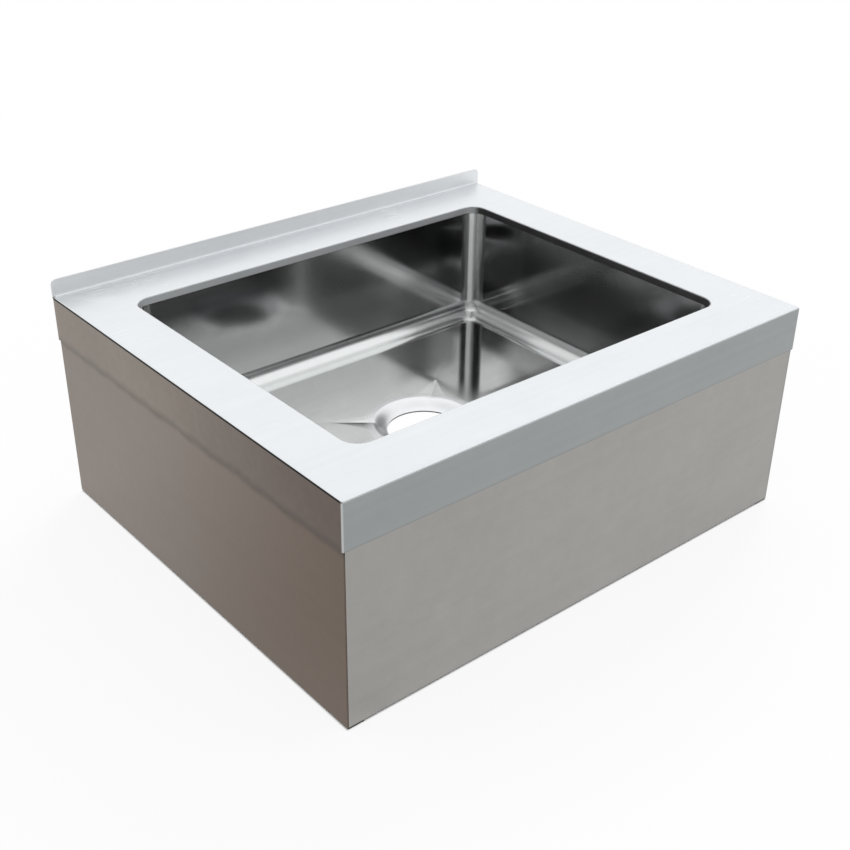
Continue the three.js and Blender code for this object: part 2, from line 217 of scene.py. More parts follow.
def finish_piece(piece, material, node):
    """Smooth shading that leaves flat faces flat, the material, and the place in the frame."""
    mesh = piece.data
    mesh.shade_smooth()
    mesh.set_sharp_from_angle(angle=SHARP_ANGLE)
    modifier = piece.modifiers.new("weighted", "WEIGHTED_NORMAL")
    modifier.keep_sharp = True
    apply_modifiers(piece)
    piece.data.materials.clear()
    piece.data.materials.append(material)
    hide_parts(node)
    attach(piece, "root")
    return piece


def prism(name, outline, start, end, place):
    """An outline in a plane, drawn out from start to end; place turns (a, b, along) to x, y, z."""
    rings = [[place(a, b, along) for a, b in outline] for along in (start, end)]
    return mesh_object(name, *loft(rings))


def along_x(y, z, x):
    """Places an outline in the plane of y and z, for a prism that runs along x."""
    return (x, y, z)


def along_z(x, y, z):
    """Places an outline in the plane of x and y, for a prism that runs along z."""
    return (x, y, z)


# ---- The deck --------------------------------------------------------------


def deck_rings():
    """The section of the sheet from the collar over the rim to the apron and back below."""

    def opening(outset, z):
        return rounded_ring(OPENING_X + outset, OPENING_Y + outset, OPENING_CORNER_R + outset, z)

    def outer(inset, z):
        return rounded_ring(HALF_X - inset, HALF_Y - inset, APRON_CORNER_R - inset, z)

    edge, far_edge = CUT_EDGE_R, SHEET - CUT_EDGE_R
    collar_foot = COLLAR_BOTTOM + edge
    apron_foot = APRON_BOTTOM + edge
    collar_inside = arc(edge, collar_foot, edge, 270, 180, EDGE_STEPS)
    collar_inside += arc(OPENING_EDGE_R, DECK_Z - OPENING_EDGE_R, OPENING_EDGE_R, 180, 90)
    apron = arc(EDGE_BEND_R, DECK_Z - EDGE_BEND_R, EDGE_BEND_R, 90, 180)
    apron += arc(edge, apron_foot, edge, 180, 270, EDGE_STEPS)
    apron += arc(far_edge, apron_foot, edge, 270, 360, EDGE_STEPS)
    apron += arc(EDGE_BEND_R, DECK_Z - EDGE_BEND_R, EDGE_BEND_R - SHEET, 180, 90)
    collar_outside = arc(OPENING_EDGE_R, DECK_Z - OPENING_EDGE_R, OPENING_EDGE_R - SHEET, 90, 180)
    collar_outside += arc(far_edge, collar_foot, edge, 360, 270, EDGE_STEPS)
    return (
        [opening(offset, z) for offset, z in collar_inside]
        + [outer(offset, z) for offset, z in apron]
        + [opening(offset, z) for offset, z in collar_outside]
    )


def upstand():
    """The strip along the back, with rounded upper corners and deburred edges."""

    def outline(inset):
        side, top, radius = HALF_X - inset, deck_high.z - inset, UPSTAND_CORNER_R - inset
        foot = DECK_Z - SHEET
        right = arc(side - radius, top - radius, radius, 0, 90)
        left = arc(radius - side, top - radius, radius, 90, 180)
        return [(-side, foot), (side, foot)] + right + left

    rings = []
    for step in range(EDGE_STEPS + 1):
        turn = QUARTER * step / EDGE_STEPS
        inset = CUT_EDGE_R * (1 - math.sin(turn))
        depth = CUT_EDGE_R * (1 - math.cos(turn))
        rings.append([(x, UPSTAND_FACE + depth, z) for x, z in outline(inset)])
    rings += [[(x, HALF_Y + UPSTAND_FACE - y, z) for x, y, z in ring] for ring in reversed(rings)]
    return mesh_object("upstand", *loft(rings))


def fold():
    """The hollow round where the deck turns up into the upstand."""
    root = DECK_Z - SHEET / 2
    behind = UPSTAND_FACE + SHEET / 2
    hollow = arc(UPSTAND_FACE - UPSTAND_FOLD_R, DECK_Z + UPSTAND_FOLD_R, UPSTAND_FOLD_R, 270, 360)
    outline = [(UPSTAND_FACE - UPSTAND_FOLD_R, root)] + hollow
    outline += [(behind, DECK_Z + UPSTAND_FOLD_R), (behind, root)]
    half = HALF_X - EDGE_BEND_R
    return prism("fold", outline, -half, half, along_x)


def build_deck(material):
    """The folded sheet, cut open at the back below the rim, with the upstand joined on."""
    deck = mesh_object("deck_sheet", *loft(deck_rings(), closed=True))
    near, far = UPSTAND_FACE - SHEET, HALF_Y + SHEET
    low, high = APRON_BOTTOM - SHEET, DECK_Z - SHEET - BACK_SLACK
    outline = [(near, low), (near, high), (far, high), (far, low)]
    reach = HALF_X - SHEET - BACK_SLACK
    back = prism("back", outline, -reach, reach, along_x)
    combine(deck, back, "DIFFERENCE")
    combine(deck, upstand(), "UNION")
    combine(deck, fold(), "UNION")
    return finish_piece(deck, material, "deck")


# ---- The bowl --------------------------------------------------------------


def crease_angles():
    """The ring points' angles, and each one's distance from its crease, in degrees.

    Each quarter of the points has a crease in its middle, and they crowd towards it.
    """
    half = RING_POINTS // 8
    share = np.arange(half + 1) / half
    angles, distances = [], []
    for number, crease in enumerate(CREASE_ANGLES):
        before = (crease - CREASE_ANGLES[number - 1]) % 360 / 2
        after = (CREASE_ANGLES[(number + 1) % 4] - crease) % 360 / 2
        lower = before * share[:0:-1] ** CREASE_CROWDING
        upper = after * share[:-1] ** CREASE_CROWDING
        angles += list(crease - lower) + list(crease + upper)
        distances += list(lower) + list(upper)
    return np.array(angles), np.array(distances)


RING_ANGLES, CREASE_DISTANCES = crease_angles()


def bowl_inside(offset):
    """Rings from the top of the bowl to the drain hole: offset 0 inside, SHEET outside."""
    wall_x, wall_y = OPENING_X + offset, OPENING_Y + offset
    corner, cove, floor = OPENING_CORNER_R + offset, COVE_R + offset, BOWL_FLOOR - offset
    rings = [rounded_ring(wall_x, wall_y, corner, BOWL_TOP)]
    for step in range(COVE_STEPS + 1):
        turn = QUARTER * step / COVE_STEPS
        pull = cove * (1 - math.cos(turn))
        z = floor + cove * (1 - math.sin(turn))
        rings.append(rounded_ring(wall_x - pull, wall_y - pull, corner - pull, z))

    star = DISH_R + (CREASE_REACH - DISH_R) * np.exp(-CREASE_DISTANCES / DISH_SPREAD)
    slope = CREASE_FALL / (CREASE_REACH - RECESS_R)
    rim = RECESS_R + offset / 2
    for step in range(FACET_STEPS + 1):
        radii = star + (rim - star) * step / FACET_STEPS
        rings.append(polar_ring(radii, floor - slope * (star - radii)))

    rim_depth = slope * (star - rim)
    for step in range(1, RECESS_STEPS + 1):
        share = step / RECESS_STEPS
        fall = RECESS_ROUNDING * (3 - 2 * share) * share**2 + (1 - RECESS_ROUNDING) * share
        depth = rim_depth + (RECESS_DEPTH - rim_depth) * fall
        radius = RECESS_R + (DRAIN_HOLE_R - RECESS_R) * share + offset * (1 - share)
        rings.append(polar_ring(radius, floor - depth))
    return rings


def build_bowl(material):
    """The coved bowl, one sheet thick, open at the top and at the drain hole."""
    rings = bowl_inside(0) + list(reversed(bowl_inside(SHEET)))
    bowl = mesh_object("bowl_shell", *loft(rings, closed=True))
    return finish_piece(bowl, material, "bowl")


# ---- The skirt panels and the pieces inside --------------------------------


def build_skirt(side, material):
    """A panel with its foot flange; side is left, right, front or back."""
    low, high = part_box(f"skirt_{side}")
    along_y = side in ("left", "right")
    sign = 1 if side in ("left", "front") else -1
    face = {"left": low.x, "right": high.x, "front": low.y, "back": high.y}[side]
    flange = high.x - low.x if along_y else high.y - low.y
    bend = FLANGE_BEND_R
    outline = arc(bend, bend, bend, 180, 270) + [(flange, 0), (flange, SHEET)]
    outline += arc(bend, bend, bend - SHEET, 270, 180) + [(SHEET, high.z), (0, high.z)]

    def place(a, z, along):
        return (face + sign * a, along, z) if along_y else (along, face + sign * a, z)

    start, end = (low.y, high.y) if along_y else (low.x, high.x)
    panel = prism(f"panel_{side}", outline, start, end, place)
    if not along_y:
        trim_flange(panel, start, end, flange)
    round_edges(panel, CUT_EDGE_R)
    return finish_piece(panel, material, f"skirt_{side}")


def trim_flange(panel, start, end, flange):
    """Takes the ends off a front or back panel's flange, where the side flanges lie."""
    depths = [vertex.co.y for vertex in panel.data.vertices]
    low, high = min(depths), max(depths)
    front = low < -HALF_Y / 2
    y0, y1 = (low + SHEET, high + SHEET) if front else (low - SHEET, high - SHEET)
    for x0, x1 in ((start - SHEET, start + flange - SHEET), (end - flange + SHEET, end + SHEET)):
        outline = [(x0, y0), (x1, y0), (x1, y1), (x0, y1)]
        end_cut = prism("end_cut", outline, -SHEET, FLANGE_BEND_R + SHEET, along_z)
        combine(panel, end_cut, "DIFFERENCE")


def build_angle(node, material):
    """An upright angle with a rounded root, its heel in the corner of the skirt."""
    low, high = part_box(node)
    t, leg = ANGLE_THICKNESS, high.x - low.x
    root = arc(t + ANGLE_ROOT_R, t + ANGLE_ROOT_R, ANGLE_ROOT_R, 270, 180, ROOT_STEPS)
    outline = [(0, 0), (leg, 0), (leg, t)] + root + [(t, leg), (0, leg)]
    right = low.x > 0
    back = low.y > 0

    def place(a, b, z):
        return (high.x - a if right else low.x + a, high.y - b if back else low.y + b, z)

    angle = prism(node + "_iron", outline, low.z, high.z, place)
    round_edges(angle, CUT_EDGE_R)
    return finish_piece(angle, material, node)


def build_channel(node, material):
    """A hat channel with bent corners, its lips up against the deck."""
    low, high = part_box(node)
    along_y = high.y - low.y > high.x - low.x
    length, width = high.x - low.x, high.y - low.y
    middle, centre = (low.x + high.x) / 2, (low.y + high.y) / 2
    if along_y:
        length, width = width, length
        middle, centre = centre, middle
    lip, web, depth = width / 2, width / 2 - width * CHANNEL_LIP_SHARE, high.z - low.z
    outer, inner = CHANNEL_BEND_R, CHANNEL_BEND_R - SHEET
    half = [(lip, 0), (lip, -SHEET)]
    half += arc(web + inner, -SHEET - inner, inner, 90, 180, ROOT_STEPS)
    half += arc(web - outer, outer - depth, outer, 0, -90, ROOT_STEPS)
    inside = arc(web - outer, outer - depth, inner, -90, 0, ROOT_STEPS)
    inside += arc(web - SHEET + outer, -outer, outer, 180, 90, ROOT_STEPS)
    left = [(-x, z) for x, z in reversed(half)]
    outline = half + left + [(-x, z) for x, z in reversed(inside)] + inside

    def place(a, z, along):
        x, y = (centre + a, middle + along) if along_y else (middle + along, centre + a)
        return (x, y, high.z + z)

    channel = prism(node + "_hat", outline, -length / 2, length / 2, place)
    round_edges(channel, CUT_EDGE_R)
    return finish_piece(channel, material, node)


def build_clip(node, material):
    """A bent tab, its back on the side panel and its sole on the flange."""
    low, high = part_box(node)
    t, bend, reach, rise = CLIP_THICKNESS, CLIP_BEND_R, high.x - low.x, high.z - low.z
    outline = arc(bend, bend, bend, 180, 270) + [(reach, 0), (reach, t)]
    outline += arc(bend, bend, bend - t, 270, 180) + [(t, rise), (0, rise)]
    right = low.x > 0

    def place(a, z, y):
        return (high.x - a if right else low.x + a, y, low.z + z)

    clip = prism(node + "_tab", outline, low.y, high.y, place)
    round_edges(clip, CUT_EDGE_R)
    return finish_piece(clip, material, node)


def build_pad(node, material):
    """A bonded pad with rounded corners and a rounded lower edge."""
    low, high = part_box(node)
    centre = (low + high) / 2
    half = (high - low) / 2
    rings = []
    for step in range(EDGE_STEPS * 2 + 1):
        turn = QUARTER * step / (EDGE_STEPS * 2)
        inset = PAD_EDGE_R * (1 - math.sin(turn))
        z = low.z + PAD_EDGE_R * (1 - math.cos(turn))
        rings.append(rounded_ring(half.x - inset, half.y - inset, PAD_CORNER_R - inset, z))
    rings.append(rounded_ring(half.x, half.y, PAD_CORNER_R, high.z))
    rings = [[(x + centre.x, y + centre.y, z) for x, y, z in ring] for ring in rings]
    pad = mesh_object(node + "_sheet", *loft(rings))
    return finish_piece(pad, material, node)


# ---- Materials -------------------------------------------------------------


class Shader:
    """One material's node tree, with short calls for the nodes it uses."""

    def __init__(self, name):
        self.material = bpy.data.materials.new(name)
        self.material.use_nodes = True
        self.tree = self.material.node_tree
        self.tree.nodes.clear()
        self.out = self.tree.nodes.new("ShaderNodeOutputMaterial")
        self.place = self.node("ShaderNodeTexCoord").outputs["Object"]
        self.x, self.y, self.z = self.node("ShaderNodeSeparateXYZ", {0: self.place}).outputs

    def node(self, kind, inputs=None, **settings):
        made = self.tree.nodes.new(kind)
        for key, value in settings.items():
            setattr(made, key, value)
        for key, value in (inputs or {}).items():
            if isinstance(value, bpy.types.NodeSocket):
                self.tree.links.new(value, made.inputs[key])
            else:
                made.inputs[key].default_value = value
        return made

    def math(self, operation, a, b=0.0, c=0.0):
        return self.node("ShaderNodeMath", {0: a, 1: b, 2: c}, operation=operation).outputs[0]

    def product(self, *shares):
        """Shares from 0 to 1 multiplied, which is 1 only where each one is."""
        total = shares[0]
        for share in shares[1:]:
            total = self.math("MULTIPLY", total, share)
        return total

    def beyond(self, coordinate, distance):
        """How far a coordinate lies beyond a distance on either side of the middle."""
        return self.math("SUBTRACT", self.math("ABSOLUTE", coordinate), distance)

    def outside(self, half_x, half_y):
        """How far a place lies outside a rectangle about the middle; below 0 is inside."""
        return self.math("MAXIMUM", self.beyond(self.x, half_x), self.beyond(self.y, half_y))

    def past_corner(self, half_x, half_y):
        """How far a place lies past a rectangle's sides both ways, as only its corners do."""
        return self.math("MINIMUM", self.beyond(self.x, half_x), self.beyond(self.y, half_y))

    def span(self, value, low, high, to_low=0.0, to_high=1.0):
        """A value's span from low to high, smoothly taken to another span."""
        inputs = {"Value": value, "From Min": low, "From Max": high}
        inputs.update({"To Min": to_low, "To Max": to_high})
        return self.node("ShaderNodeMapRange", inputs, interpolation_type="SMOOTHSTEP").outputs[0]

    def noise(self, stretch, detail=3.0, roughness=0.55, shift=(0.0, 0.0, 0.0)):
        """Noise whose grain per metre along x, y and z is given by stretch."""
        mapped = self.node(
            "ShaderNodeMapping", {"Vector": self.place, "Location": shift, "Scale": stretch}
        )
        inputs = {"Vector": mapped.outputs[0], "Scale": 1.0, "Detail": detail, "Roughness": roughness}
        return self.node("ShaderNodeTexNoise", inputs).outputs["Fac"]

    def vary(self, base, noise, amount):
        """A value that varies about a base with a noise, by the amount from end to end."""
        return self.math("MULTIPLY_ADD", self.math("SUBTRACT", noise, 0.5), amount, base)

    def mix(self, factor, low, high):
        """A colour between two colours."""
        made = self.node("ShaderNodeMix", {0: factor}, data_type="RGBA")
        for socket, value in ((made.inputs[6], low), (made.inputs[7], high)):
            if isinstance(value, bpy.types.NodeSocket):
                self.tree.links.new(value, socket)
            else:
                socket.default_value = (*value, 1.0)
        return made.outputs[2]

    def scale(self, colour, factor):
        """A colour times a value."""
        inputs = {0: colour, "Scale": factor}
        return self.node("ShaderNodeVectorMath", inputs, operation="SCALE").outputs[0]

    def blend(self, factor, low, high):
        """A value between two values."""
        inputs = {0: factor, 2: low, 3: high}
        return self.node("ShaderNodeMix", inputs, data_type="FLOAT").outputs[0]

    def bump(self, height, distance, normal=None):
        inputs = {"Height": height, "Distance": distance}
        if normal is not None:
            inputs["Normal"] = normal
        return self.node("ShaderNodeBump", inputs).outputs[0]

    def surface(self, **inputs):
        inputs = {name.replace("_", " "): value for name, value in inputs.items()}
        principled = self.node("ShaderNodeBsdfPrincipled", inputs)
        self.tree.links.new(principled.outputs[0], self.out.inputs["Surface"])
        return self.material


class Steel(Shader):
    """Stainless sheet: fine grain along one axis, wiping streaks, soft smudges and a slight wave."""

    # How many go to a metre
    GRAIN_ALONG = 12.0
    GRAIN_ACROSS = 1500.0
    SMUDGES = 8.0
    MOTTLE = 70.0
    WAVES = 4.5
    WANDERINGS = 25.0

    STREAK_SIZE = 12  # in grains

    def __init__(self, name, grain_axis, shift=0.0):
        super().__init__(name)
        stretch = [self.GRAIN_ALONG if axis == grain_axis else self.GRAIN_ACROSS for axis in "xyz"]
        self.grain = self.noise(stretch, 3.0, 0.6)
        streaks = [value / self.STREAK_SIZE for value in stretch]
        self.streaks = self.noise(streaks, 3.0, 0.6, (3.1 + shift, 1.7, 0.4))
        self.smudges = self.noise((self.SMUDGES,) * 3, 4.0, 0.6, (5.3, 2.2 + shift, 7.9))
        self.mottle = self.noise((self.MOTTLE,) * 3, 3.0, 0.6, (1.9, 8.2, 3.3 + shift))
        self.waves = self.noise((self.WAVES,) * 3, 1.0, 0.5, (1.3, 4.6, 2.9 + shift))

    def tone(self, streaks, smudges, mottle):
        """A factor about 0.5 that mixes the three noises by their shares."""
        total = self.vary(0.5, self.streaks, streaks)
        total = self.vary(total, self.smudges, smudges)
        return self.vary(total, self.mottle, mottle)

    def wandering_z(self, amount):
        """The height, made to wander by an amount from end to end."""
        return self.vary(self.z, self.noise((self.WANDERINGS,) * 3, 2.0), amount)

    def relief(self, grain_depth, wave_depth, mottle_depth=0.0):
        normal = self.bump(self.waves, wave_depth)
        if mottle_depth:
            normal = self.bump(self.mottle, mottle_depth, normal)
        return self.bump(self.grain, grain_depth, normal)


def round_opening(s):
    """Above 0 at the left and right of the bowl's opening, below 0 at its front and back."""
    sideways = s.beyond(s.x, OPENING_X - OPENING_CORNER_R)
    return s.math("SUBTRACT", sideways, s.beyond(s.y, OPENING_Y - OPENING_CORNER_R))


def deck_steel():
    """Satin on top, the aprons a duller mill finish darkened with painted shade, brown on the left, a
    ground collar, and painted light on the upstand.
    """
    s = Steel("deck_steel", "x")
    tone = s.tone(0.9, 1.2, 0.3)
    top = s.mix(tone, (0.79, 0.82, 0.845), (0.86, 0.885, 0.905))

    # Painted shade: the aprons other than the left are darker than the top, and darker still along
    # their lower edge
    front = s.mix(tone, (0.29, 0.31, 0.31), (0.335, 0.355, 0.355))
    front = s.scale(front, s.span(s.z, APRON_BOTTOM, APRON_BOTTOM + 1.2 * MM, 0.6, 1.0))
    # Painted shade: the left apron brown and darker, most towards its front and its foot
    left_front_shade = s.mix(tone, (0.095, 0.069, 0.056), (0.137, 0.099, 0.080))
    left_back_shade = s.mix(tone, (0.195, 0.162, 0.132), (0.25, 0.212, 0.172))
    left = s.mix(s.span(s.y, -HALF_Y, HALF_Y / 2), left_front_shade, left_back_shade)
    foot_shade = s.span(s.wandering_z(8 * MM), APRON_BOTTOM, APRON_BOTTOM + 9 * MM, 0.72, 1.0)
    left = s.scale(left, foot_shade)
    on_left = s.span(s.math("MULTIPLY", s.x, -1.0), HALF_X - 1.2 * MM, HALF_X - 0.4 * MM)
    aprons = s.mix(on_left, front, left)

    collar = s.mix(tone, (0.60, 0.62, 0.64), (0.70, 0.72, 0.74))
    # Painted shade on the right side of the collar
    shaded_right_collar = s.mix(tone, (0.045, 0.043, 0.043), (0.08, 0.077, 0.077))
    to_right = s.product(s.span(round_opening(s), -4 * MM, 10 * MM), s.span(s.x, -1 * MM, 1 * MM))
    collar = s.mix(to_right, collar, shaded_right_collar)

    below = s.span(s.z, DECK_Z - 0.4 * MM, DECK_Z - EDGE_BEND_R)
    inside = s.span(s.outside(OPENING_X + 10 * MM, OPENING_Y + 10 * MM), 0.0, -2 * MM)
    colour = s.mix(below, top, s.mix(inside, aprons, collar))

    # A painted shade line along the bend on the left, and a painted highlight down the corners of the
    # aprons
    bend = s.product(
        s.span(s.z, DECK_Z - 2.6 * MM, DECK_Z - 2 * MM),
        s.span(s.z, DECK_Z - 0.4 * MM, DECK_Z - 0.9 * MM),
        s.span(s.x, -HALF_X + 2.2 * MM, -HALF_X + 1.7 * MM),
        s.span(s.y, -HALF_Y + 1 * MM, -HALF_Y + 3 * MM),
    )
    colour = s.mix(bend, colour, (0.03, 0.026, 0.023))
    corner = s.past_corner(HALF_X - APRON_CORNER_R, HALF_Y - APRON_CORNER_R)
    corner = s.product(s.span(corner, 0.5 * MM, 1.3 * MM), below)
    colour = s.mix(corner, colour, (0.5, 0.515, 0.515))

    # Painted light: the upstand paler than the deck's top
    on_upstand = s.span(s.z, DECK_Z, DECK_Z + UPSTAND_FOLD_R)
    colour = s.mix(on_upstand, colour, s.mix(tone, (0.86, 0.89, 0.91), (0.93, 0.95, 0.96)))
    behind = s.span(s.y, HALF_Y - 0.9 * MM, HALF_Y - 0.3 * MM)
    colour = s.mix(behind, colour, s.mix(tone, (0.36, 0.37, 0.37), (0.41, 0.42, 0.42)))

    rough = s.blend(below, s.blend(on_upstand, 0.26, 0.4), s.blend(inside, 0.33, 0.42))
    rough = s.vary(s.vary(rough, s.grain, 0.04), s.smudges, 0.05)
    normal = s.relief(0.0015 * MM, 0.06 * MM)
    return s.surface(Base_Color=colour, Metallic=0.6, Roughness=rough, Normal=normal)


# Patches of painted shade on the bowl's walls: the spans in mm over which each one comes up, and its
# shade
BACK_WALL_SHADE_PATCHES = (
    ((("z", 195, 225), ("x", -10, -90)), 0.2),
    ((("z", 190, 165), ("x", 100, 160), ("x", 236, 216)), 0.45),
)
RIGHT_WALL_SHADE_PATCHES = (
    ((("z", 162, 142), ("y", 96, 124)), 0.26),
    ((("y", 150, 110), ("y", -110, -60)), 0.56),
    ((("z", 145, 165), ("y", 125, 95)), 0.35),
    ((("z", 185, 205), ("y", -85, -110)), 0.3),
)


def at_wall(s, coordinate, wall):
    """Comes up from 12 to 4 mm before a wall of the bowl that stands across a coordinate."""
    return s.span(coordinate, wall - 12 * MM, wall - 4 * MM)


def paint_wall_shade(s, colour, on_wall, patches):
    """Lays a wall's patches of painted shade over a colour, in turn."""
    coordinates = {"x": s.x, "y": s.y, "z": s.z}
    for spans, shade in patches:
        shares = [s.span(coordinates[axis], start * MM, end * MM) for axis, start, end in spans]
        colour = s.mix(s.product(on_wall, *shares), colour, (shade,) * 3)
    return colour


def bowl_steel():
    """Polished sheet: satin in the coves, the corners and the drain recess, with painted shade in
    patches and painted highlights on the corner welds.
    """
    s = Steel("bowl_steel", "x")
    tone = s.tone(0.8, 1.2, 0.4)

    # Floor and walls
    height = s.span(s.z, BOWL_FLOOR, BOWL_TOP)
    low = s.mix(tone, (0.70, 0.72, 0.71), (0.80, 0.81, 0.80))
    high = s.mix(tone, (0.71, 0.71, 0.71), (0.81, 0.81, 0.81))
    # Painted shade: the front wall much darker than the others
    shaded_front_wall = s.mix(tone, (0.19, 0.192, 0.192), (0.26, 0.262, 0.262))
    on_front = at_wall(s, s.math("MULTIPLY", s.y, -1.0), OPENING_Y)
    walls = s.mix(on_front, s.mix(height, low, high), shaded_front_wall)
    floor = s.mix(tone, (0.79, 0.815, 0.805), (0.875, 0.89, 0.88))
    up_cove = s.span(s.z, BOWL_FLOOR + COVE_R / 2, BOWL_FLOOR + COVE_R)
    colour = s.mix(up_cove, floor, walls)
    on_right = at_wall(s, s.x, OPENING_X)
    colour = paint_wall_shade(s, colour, at_wall(s, s.y, OPENING_Y), BACK_WALL_SHADE_PATCHES)
    colour = paint_wall_shade(s, colour, on_right, RIGHT_WALL_SHADE_PATCHES)

    # Coves, upright corners and the drain's recess
    below_wall = s.span(s.z, BOWL_FLOOR + COVE_R, BOWL_FLOOR + COVE_R - 5 * MM)
    past_floor = s.span(s.outside(OPENING_X - COVE_R, OPENING_Y - COVE_R), -3 * MM, 2 * MM)
    in_cove = s.product(past_floor, below_wall)
    corner_start = OPENING_CORNER_R + 3 * MM
    in_corner = s.span(s.past_corner(OPENING_X - corner_start, OPENING_Y - corner_start), 0.0, 4 * MM)
    satin = s.math("MAXIMUM", in_cove, in_corner)
    colour = s.mix(satin, colour, s.mix(tone, (0.84, 0.86, 0.86), (0.92, 0.94, 0.94)))
    # Painted shade down the upright corners, above the welds at their feet
    above_ball = s.span(s.z, BOWL_FLOOR + COVE_R - 4 * MM, BOWL_FLOOR + COVE_R)
    corner_shade = s.mix(tone, (0.35, 0.35, 0.35), (0.45, 0.45, 0.45))
    colour = s.mix(s.product(in_corner, above_ball), colour, corner_shade)
    radius = s.math("SQRT", s.math("ADD", s.math("MULTIPLY", s.x, s.x), s.math("MULTIPLY", s.y, s.y)))
    in_recess = s.span(radius, RECESS_R + 14 * MM, RECESS_R + 2 * MM)
    in_dish = s.span(radius, CREASE_REACH + 10 * MM, RECESS_R + 14 * MM)
    # Painted shade on the front half of the recess; its back stays pale
    recess = s.mix(s.span(s.y, -28 * MM, 6 * MM), (0.27, 0.28, 0.29), (0.93, 0.945, 0.965))
    colour = s.mix(in_recess, colour, recess)

    # How dull each region is
    low_part = s.product(s.span(height, 0.85, 0.45), s.span(s.x, 242 * MM, 218 * MM))
    low_left = s.math("MAXIMUM", s.span(s.x, 240 * MM, 0.0), low_part)
    worn = s.product(low_left, s.span(s.y, OPENING_Y - COVE_R, OPENING_Y))
    rough = s.blend(up_cove, 0.06, 0.055)
    rough = s.blend(worn, rough, 0.14)
    rough = s.blend(s.product(on_right, s.span(s.y, 150 * MM, 110 * MM)), rough, 0.13)
    rough = s.blend(in_dish, rough, 0.14)
    rough = s.blend(satin, rough, 0.24)
    rough = s.blend(in_recess, rough, 0.36)
    rough = s.vary(rough, s.smudges, 0.02)

    # The buffed weld up each corner, painted with a highlight on one side and shade on the other, and
    # the dab of ground weld at its foot, painted near-white as a highlight
    turned = round_opening(s)
    seam = s.product(s.span(turned, -11 * MM, -7 * MM), s.span(turned, 9 * MM, 1 * MM), in_corner)
    strokes = s.noise((900.0, 900.0, 25.0), 3.0, 0.6)
    buff = s.vary(s.span(turned, 3 * MM, -3 * MM), strokes, 1.2)
    colour = s.mix(seam, colour, s.mix(buff, (0.36, 0.37, 0.37), (0.97, 0.98, 0.98)))
    in_one_quarter = {0: s.math("ABSOLUTE", s.x), 1: s.math("ABSOLUTE", s.y), 2: s.z}
    place = s.node("ShaderNodeCombineXYZ", in_one_quarter).outputs[0]
    away = s.node("ShaderNodeVectorMath", {0: place, 1: DAB_AT}, operation="DISTANCE").outputs["Value"]
    dab = s.span(away, DAB_R, DAB_R * 0.7)
    colour = s.mix(dab, colour, (0.97, 0.98, 0.98))
    rough = s.blend(dab, rough, 0.34)
    normal = s.bump(s.span(away, DAB_R, 0.0), DAB_RISE, s.bump(s.waves, 0.12 * MM))

    # Buffed steel scatters light, so it is less metallic to the renderer; the right cove's larger share
    # is painted light that brightens it
    in_right_cove = s.span(s.x, OPENING_X - COVE_R, OPENING_X - COVE_R / 2)
    cove_buff_and_sheen = s.product(in_cove, s.blend(in_right_cove, 0.08, 0.5))
    buffed = s.blend(dab, s.math("MAXIMUM", seam, cove_buff_and_sheen), 0.2)
    metal = s.blend(buffed, 1.0, 0.0)
    return s.surface(Base_Color=colour, Metallic=metal, Roughness=rough, Normal=normal)


# The skirt's tones, darkest and palest: mill finish darkened with painted shade, brown (WARM) on the
# left skirt and darker still towards its lower front (WARM_FRONT)
WARM = ((0.225, 0.19, 0.165), (0.265, 0.224, 0.193))
WARM_FRONT = ((0.142, 0.108, 0.085), (0.167, 0.127, 0.1))
COOL = ((0.335, 0.33, 0.315), (0.395, 0.386, 0.372))

# The painted shadow line below the apron: how high it is, and the shade that it brings
SOFT_SEAM_SHADOW = (10 * MM, 0.62)
FINE_SEAM_SHADOW = (1.8 * MM, 0.7)
NO_SEAM_SHADOW = (1.8 * MM, 1.0)


def skirt_steel(name, grain_axis, tones, front_tones, seam, shift):
    """Mill finish with faint mottling, its tones turning to others towards the lower front, which on
    the left skirt is painted shade.

    Below the apron lies a painted shadow line, which seam makes as high and as dark as it says.
    """
    s = Steel(name, grain_axis, shift)
    tone = s.tone(0.5, 1.6, 0.6)
    # Painted shade towards the lower front, where front_tones differ
    back_and_up = s.math("MULTIPLY_ADD", s.z, 0.8, s.y)
    forward = s.span(back_and_up, 270 * MM, -160 * MM)
    colour = s.mix(forward, s.mix(tone, *tones), s.mix(tone, *front_tones))
    # Painted shadow below the apron
    height, shade = seam
    line = s.span(s.wandering_z(height), APRON_BOTTOM - height, APRON_BOTTOM, 1.0, shade)
    colour = s.scale(colour, line)
    foot_shade = s.span(s.z, 0.8 * MM, FLANGE_BEND_R, 0.3, 1.0)
    colour = s.scale(colour, foot_shade)
    rough = s.vary(s.vary(0.36, s.grain, 0.05), s.smudges, 0.14)
    normal = s.relief(0.004 * MM, 0.3 * MM, 0.006 * MM)
    return s.surface(Base_Color=colour, Metallic=1.0, Roughness=rough, Normal=normal)


def bracket_steel():
    """Mill finish of the rolled and bent pieces below the bowl."""
    s = Steel("bracket_steel", "z")
    colour = s.mix(s.tone(0.8, 1.0, 0.8), (0.44, 0.45, 0.46), (0.6, 0.61, 0.62))
    rough = s.vary(s.vary(0.42, s.grain, 0.08), s.smudges, 0.16)
    normal = s.relief(0.006 * MM, 0.1 * MM, 0.01 * MM)
    return s.surface(Base_Color=colour, Metallic=1.0, Roughness=rough, Normal=normal)


def pad_rubber():
    """Matte black sheet with fine pores."""
    s = Shader("pad_rubber")
    pores = s.noise((900.0,) * 3, 2.0)
    clouds = s.noise((30.0,) * 3, 3.0)
    colour = s.mix(s.span(clouds, 0.3, 0.7), (0.022, 0.022, 0.024), (0.045, 0.044, 0.043))
    rough = s.vary(0.85, pores, 0.15)
    return s.surface(Base_Color=colour, Roughness=rough, Normal=s.bump(pores, 0.15 * MM))


# ---- The studio ------------------------------------------------------------

